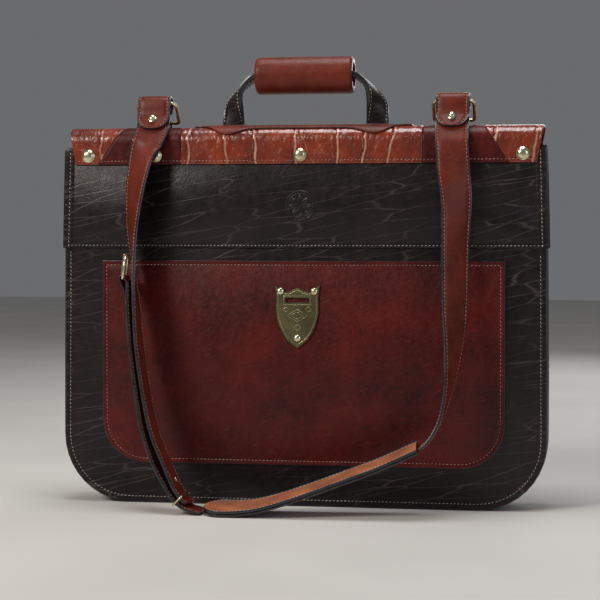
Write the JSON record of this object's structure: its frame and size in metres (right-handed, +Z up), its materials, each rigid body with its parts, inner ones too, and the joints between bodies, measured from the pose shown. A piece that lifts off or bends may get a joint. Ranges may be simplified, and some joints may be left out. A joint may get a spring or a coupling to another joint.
{
  "type": "garment bag",
  "caption": "Structured leather bi-fold garment bag with a riveted saddle top, rolled handle, patch pockets, shield badge and buckled shoulder strap.",
  "frame": {"origin": "centre of the whole object's box on the surface it stands on", "axes": "+X along the width to the right seen from the badge side, -Y out of the badge side, +Z up"},
  "size_m": [0.56, 0.1704, 0.5162],
  "materials": {
    "black_leather": "near-black glazed cowhide",
    "chestnut_leather": "dark chestnut cowhide",
    "strap_leather": "chestnut strap cowhide, dark painted edges",
    "alligator_hide": "glossy orange-brown alligator-grain hide",
    "suede": "tan suede",
    "bright_brass": "polished pale brass",
    "aged_brass": "antiqued brass",
    "lining_cloth": "woven cotton lining",
    "board": "stiffening board",
    "wood": "varnished beech",
    "steel": "plated steel"
  },
  "bodies": {
    "back_half": {"back_panel": "black_leather", "back_yoke": "black_leather", "back_gusset_left": "black_leather", "back_gusset_right": "black_leather", "back_gusset_bottom": "black_leather", "back_lining": "lining_cloth", "back_pocket": "chestnut_leather", "badge_plate": "aged_brass", "badge_rivet_left": "bright_brass", "badge_rivet_right": "bright_brass", "badge_rivet_tip": "bright_brass", "saddle_corner_left": "alligator_hide", "saddle_band_left": "chestnut_leather", "saddle_centre": "alligator_hide", "saddle_band_right": "chestnut_leather", "saddle_corner_right": "alligator_hide", "spine_board": "board", "handle_patch": "chestnut_leather", "ring_loop_left": "strap_leather", "ring_loop_right": "strap_leather", "hanger_bracket": "steel", "hanger_hook": "steel", "garment_hanger": "wood", "garment_band_upper": "lining_cloth", "garment_band_lower": "lining_cloth", "back_magnet": "steel", "saddle_rivet_1": "bright_brass", "saddle_rivet_2": "bright_brass", "saddle_rivet_3": "bright_brass", "saddle_rivet_4": "bright_brass", "saddle_rivet_5": "bright_brass"},
    "front_half": {"front_panel": "black_leather", "front_yoke": "black_leather", "front_gusset_left": "black_leather", "front_gusset_right": "black_leather", "front_gusset_bottom": "black_leather", "front_lining": "lining_cloth", "front_pocket": "chestnut_leather", "saddle_front": "alligator_hide", "front_magnet": "steel", "front_rivet_1": "bright_brass", "front_rivet_2": "bright_brass", "front_rivet_3": "bright_brass", "front_rivet_4": "bright_brass", "front_rivet_5": "bright_brass"},
    "handle": {"handle_strap": "black_leather", "grip_wrap": "strap_leather"},
    "ring_left": {"ring_left": "bright_brass"},
    "ring_right": {"ring_right": "bright_brass"},
    "shoulder_strap": {"strap_upper_left": "strap_leather", "strap_lower_left": "strap_leather", "strap_right": "strap_leather", "shoulder_pad": "suede", "stud_left": "bright_brass", "stud_right": "bright_brass", "buckle_frame": "bright_brass", "keeper_ring": "bright_brass", "strap_rivet": "bright_brass"},
    "buckle_tongue": {"buckle_tongue": "bright_brass"}
  },
  "joints": [
    {"name": "front_half_fold", "type": "hinge", "parent": "back_half", "child": "front_half", "pos_m": [0, 0.08161, 0.417], "axis": [1, 0, 0], "range_deg": [0, 175]},
    {"name": "handle_tilt", "type": "hinge", "parent": "back_half", "child": "handle", "pos_m": [0, 0.04281, 0.4412], "axis": [1, 0, 0], "range_deg": [-10, 40]},
    {"name": "ring_left_swing", "type": "hinge", "parent": "back_half", "child": "ring_left", "pos_m": [-0.172, 0.04281, 0.4405], "axis": [-1, 0, 0], "range_deg": [0, 40]},
    {"name": "ring_right_swing", "type": "hinge", "parent": "back_half", "child": "ring_right", "pos_m": [0.172, 0.04281, 0.4405], "axis": [-1, 0, 0], "range_deg": [0, 40]},
    {"name": "strap_swing", "type": "hinge", "parent": "ring_left", "child": "shoulder_strap", "pos_m": [0, 0.02416, 0.46271], "axis": [-1, 0, 0], "range_deg": [0, 110]},
    {"name": "buckle_tongue_swing", "type": "hinge", "parent": "shoulder_strap", "child": "buckle_tongue", "pos_m": [-0.1975, -0.02669, 0.261], "axis": [0.1676, -0.9859, 0], "range_deg": [0, 110]}
  ],
  "couplings": [
    {"joint": "ring_right_swing", "follows": "ring_left_swing", "ratio": 1}
  ]
}
